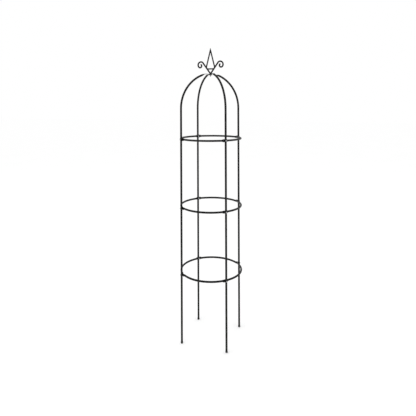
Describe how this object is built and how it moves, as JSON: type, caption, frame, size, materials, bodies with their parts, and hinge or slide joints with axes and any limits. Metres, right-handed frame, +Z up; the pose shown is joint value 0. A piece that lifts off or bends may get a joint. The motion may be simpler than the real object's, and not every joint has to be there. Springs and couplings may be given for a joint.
{
  "type": "garden obelisk",
  "caption": "Round tubular steel plant obelisk: straight plug-in legs joined by hoops, a dome of bent rods and a wire spear finial with two scrolls.",
  "frame": {"origin": "on the ground, on the obelisk's vertical axis, midway between the four feet", "axes": "+Z up towards the finial; -Y is the front, between two legs; the finial lies flat in the XZ plane"},
  "size_m": [0.3932, 0.3932, 1.83],
  "materials": {
    "black_powder_coat": "satin",
    "foot_plastic": "matte",
    "zinc_plate": "satin"
  },
  "bodies": {
    "root": {"crown_nut": "zinc_plate", "crown_washer": "zinc_plate", "dome_rod_back_left": "black_powder_coat", "dome_rod_back_right": "black_powder_coat", "dome_rod_front_left": "black_powder_coat", "dome_rod_front_right": "black_powder_coat", "finial_boss": "black_powder_coat", "finial_crossbar": "black_powder_coat", "finial_scroll_left": "black_powder_coat", "finial_scroll_right": "black_powder_coat", "finial_spear": "black_powder_coat", "foot_plug_back_left": "foot_plastic", "foot_plug_back_right": "foot_plastic", "foot_plug_front_left": "foot_plastic", "foot_plug_front_right": "foot_plastic", "hoop_lower_left_half": "black_powder_coat", "hoop_lower_right_half": "black_powder_coat", "hoop_middle_left_half": "black_powder_coat", "hoop_middle_right_half": "black_powder_coat", "hoop_nuts_lower": "zinc_plate", "hoop_nuts_middle": "zinc_plate", "hoop_nuts_upper": "zinc_plate", "hoop_screws_lower": "zinc_plate", "hoop_screws_middle": "zinc_plate", "hoop_screws_upper": "zinc_plate", "hoop_upper_left_half": "black_powder_coat", "hoop_upper_right_half": "black_powder_coat", "leg_lower_back_left": "black_powder_coat", "leg_lower_back_right": "black_powder_coat", "leg_lower_front_left": "black_powder_coat", "leg_lower_front_right": "black_powder_coat", "leg_middle_back_left": "black_powder_coat", "leg_middle_back_right": "black_powder_coat", "leg_middle_front_left": "black_powder_coat", "leg_middle_front_right": "black_powder_coat", "leg_upper_back_left": "black_powder_coat", "leg_upper_back_right": "black_powder_coat", "leg_upper_front_left": "black_powder_coat", "leg_upper_front_right": "black_powder_coat"}
  },
  "joints": []
}
